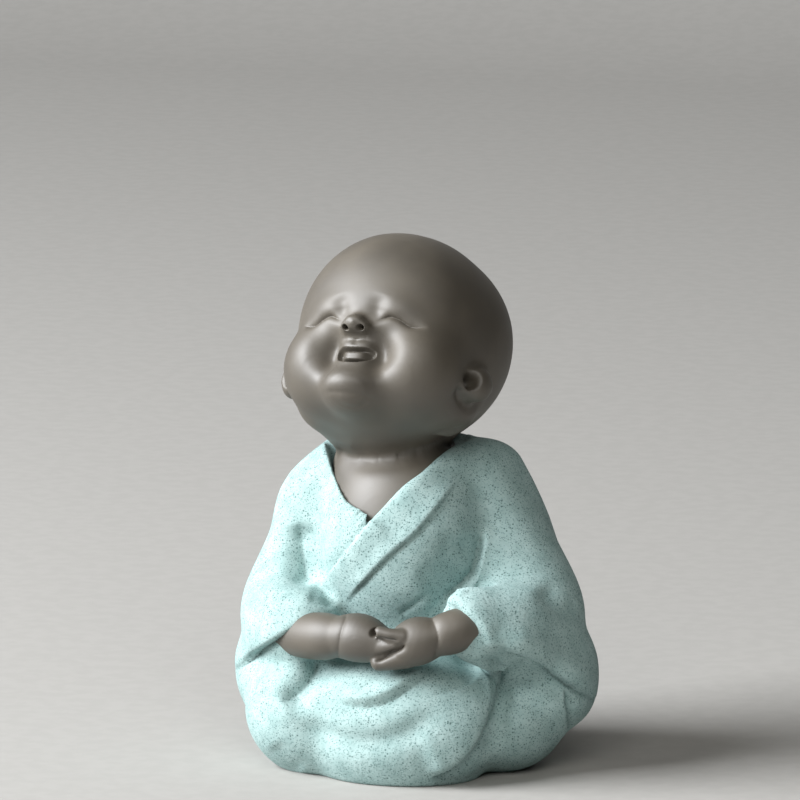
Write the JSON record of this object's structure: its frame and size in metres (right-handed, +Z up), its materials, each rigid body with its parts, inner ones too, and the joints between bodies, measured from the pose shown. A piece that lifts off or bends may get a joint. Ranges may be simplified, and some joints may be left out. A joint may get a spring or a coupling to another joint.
{
  "type": "laughing monk figurine",
  "caption": "Small seated laughing baby monk of fired clay with folded hands and a crossed robe, standing on its flat foot.",
  "frame": {"origin": "on the foot's plane, under the middle of the figure's bounding box", "axes": "+Z up through the crown, -Y the way that the figure faces, +X its left"},
  "size_m": [0.054, 0.0432, 0.0764],
  "materials": {
    "aqua_sand": "matt, sandy and finely speckled",
    "brown_clay": "smooth fired clay with a satin sheen"
  },
  "bodies": {
    "root": {"little_monk": "aqua_sand"}
  },
  "joints": []
}
